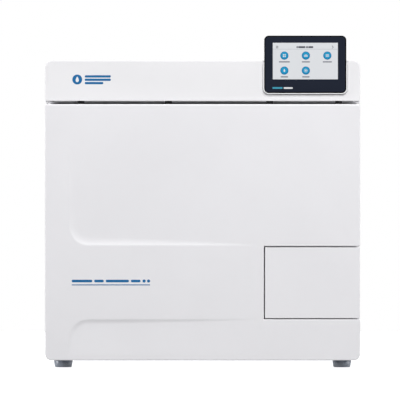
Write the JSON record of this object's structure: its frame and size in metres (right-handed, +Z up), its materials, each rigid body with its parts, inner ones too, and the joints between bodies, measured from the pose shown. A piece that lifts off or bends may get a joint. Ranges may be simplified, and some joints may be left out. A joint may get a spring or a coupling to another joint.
{
  "type": "benchtop autoclave",
  "caption": "Box-shaped steam steriliser with a full-width swing door over a round pressure chamber, tilting display, service flap and lidded water tanks.",
  "frame": {"origin": "on the bench, in the middle of the object's footprint", "axes": "+X to the right seen from the front, +Y to the back, +Z up"},
  "size_m": [0.46, 0.61, 0.486],
  "materials": {
    "hood_white": "fine satin moulded plastic",
    "door_white": "satin moulded plastic",
    "bay_white": "matt moulded plastic",
    "panel_white": "fine textured powder coat",
    "liner_grey": "matt",
    "zinc_steel": "zinc plated",
    "stainless": "brushed",
    "machined_steel": "machined",
    "foot_rubber": "satin",
    "buffer_rubber": "matt",
    "silicone": "satin",
    "insulation": "glass fibre felt",
    "bronze": "sintered bronze",
    "brass": "turned brass",
    "cast_alloy": "die cast",
    "motor_dark": "satin black",
    "black_plastic": "fine matt",
    "rocker_green": "gloss",
    "button_red": "gloss",
    "socket_metal": "plated",
    "cap_blue": "matt",
    "cap_grey": "matt",
    "display_glass": "gloss",
    "display_module": "satin",
    "tank_plastic": "translucent polyethylene",
    "float_red": "matt",
    "board_green": "lacquered board",
    "filter_white": "gloss",
    "valve_red": "gloss",
    "pipe_copper": "drawn copper"
  },
  "bodies": {
    "root": {"top_cover": "hood_white", "service_box": "bay_white", "left_side_panel": "panel_white", "right_side_panel": "panel_white", "rear_panel": "panel_white", "front_frame": "panel_white", "base_tray": "zinc_steel", "tank_shelf": "zinc_steel", "hinge_brackets": "zinc_steel", "display_bracket": "zinc_steel", "power_supply": "zinc_steel", "chamber_vessel": "stainless", "tray_rack": "stainless", "trays": "stainless", "steam_generator": "stainless", "feet": "foot_rubber", "cover_buffers": "buffer_rubber", "chamber_insulation": "insulation", "valve_block": "brass", "safety_valve": "brass", "hose_tails": "brass", "drain_couplings": "brass", "lock_housing": "cast_alloy", "condenser": "cast_alloy", "lock_motor": "motor_dark", "vacuum_pump": "motor_dark", "feed_pump": "motor_dark", "mains_switch_frame": "black_plastic", "power_inlet": "black_plastic", "fan_frame": "black_plastic", "usb_socket": "socket_metal", "fresh_water_tank": "tank_plastic", "used_water_tank": "tank_plastic", "main_board": "board_green", "sterile_filter": "filter_white", "pipes": "pipe_copper"},
    "door": {"door_shell": "door_white", "door_liner": "liner_grey", "door_frame": "zinc_steel", "hinge_bushes": "bronze", "pressure_plate": "stainless", "door_seal": "silicone", "striker": "machined_steel"},
    "bolt": {"lock_bolt": "machined_steel"},
    "spindle": {"lock_spindle": "machined_steel"},
    "flap": {"service_flap": "door_white"},
    "rocker": {"mains_rocker": "rocker_green"},
    "reset": {"reset_button": "button_red"},
    "cap_left": {"drain_cap_left": "cap_blue"},
    "cap_right": {"drain_cap_right": "cap_grey"},
    "display": {"display_shell": "hood_white", "display_glass": "display_glass", "display_module": "display_module", "display_shaft": "machined_steel"},
    "lid": {"tank_lid": "hood_white"},
    "float_fresh": {"fresh_float": "float_red"},
    "float_used": {"used_float": "float_red"},
    "pump_rotor": {"pump_fan": "black_plastic"},
    "fan_rotor": {"cooling_fan": "black_plastic"},
    "valve_cap": {"safety_valve_cap": "valve_red"}
  },
  "joints": [
    {"name": "door_swing", "type": "hinge", "parent": "root", "child": "door", "pos_m": [-0.218, -0.257, 0.2], "axis": [0, 0, -1], "range_deg": [0, 100]},
    {"name": "bolt_slide", "type": "slide", "parent": "root", "child": "bolt", "axis": [0, 0, -1], "range_m": [0, 0.014]},
    {"name": "spindle_turn", "type": "hinge", "parent": "root", "child": "spindle", "pos_m": [0.209, -0.22, 0.29], "axis": [0, 0, -1], "range_deg": [0, 2521]},
    {"name": "flap_swing", "type": "hinge", "parent": "root", "child": "flap", "pos_m": [0.222, -0.294, 0.125], "axis": [0, 0, 1], "range_deg": [0, 100]},
    {"name": "rocker_tilt", "type": "hinge", "parent": "root", "child": "rocker", "pos_m": [0.116, -0.26, 0.149], "axis": [1, 0, 0], "range_deg": [0, 16]},
    {"name": "reset_press", "type": "slide", "parent": "root", "child": "reset", "axis": [0, 1, 0], "range_m": [0, 0.003], "stiffness_N_per_m": 300, "springref_m": -0.002},
    {"name": "cap_left_turn", "type": "hinge", "parent": "root", "child": "cap_left", "pos_m": [0.124, -0.276, 0.103], "axis": [0, -1, 0], "range_deg": [0, 90]},
    {"name": "cap_right_turn", "type": "hinge", "parent": "root", "child": "cap_right", "pos_m": [0.168, -0.276, 0.103], "axis": [0, -1, 0], "range_deg": [0, 90]},
    {"name": "display_tilt", "type": "hinge", "parent": "root", "child": "display", "pos_m": [0.15, -0.286, 0.444], "axis": [-1, 0, 0], "range_deg": [0, 45]},
    {"name": "lid_open", "type": "hinge", "parent": "root", "child": "lid", "pos_m": [0, 0.126, 0.4465], "axis": [-1, 0, 0], "range_deg": [0, 80]},
    {"name": "float_fresh_rise", "type": "slide", "parent": "root", "child": "float_fresh", "axis": [0, 0, 1], "range_m": [0, 0.025]},
    {"name": "float_used_rise", "type": "slide", "parent": "root", "child": "float_used", "axis": [0, 0, 1], "range_m": [0, 0.025]},
    {"name": "pump_fan_spin", "type": "hinge", "parent": "root", "child": "pump_rotor", "pos_m": [0.165, 0.196, 0.084], "axis": [0, 1, 0], "continuous": true},
    {"name": "cooling_fan_spin", "type": "hinge", "parent": "root", "child": "fan_rotor", "pos_m": [-0.045, 0.261, 0.17], "axis": [0, 1, 0], "continuous": true},
    {"name": "valve_lift", "type": "slide", "parent": "root", "child": "valve_cap", "axis": [0, 1, 0], "range_m": [0, 0.003], "stiffness_N_per_m": 500, "springref_m": -0.002}
  ],
  "couplings": [
    {"joint": "spindle_turn", "follows": "bolt_slide", "rad_per_m": 3141.6}
  ]
}
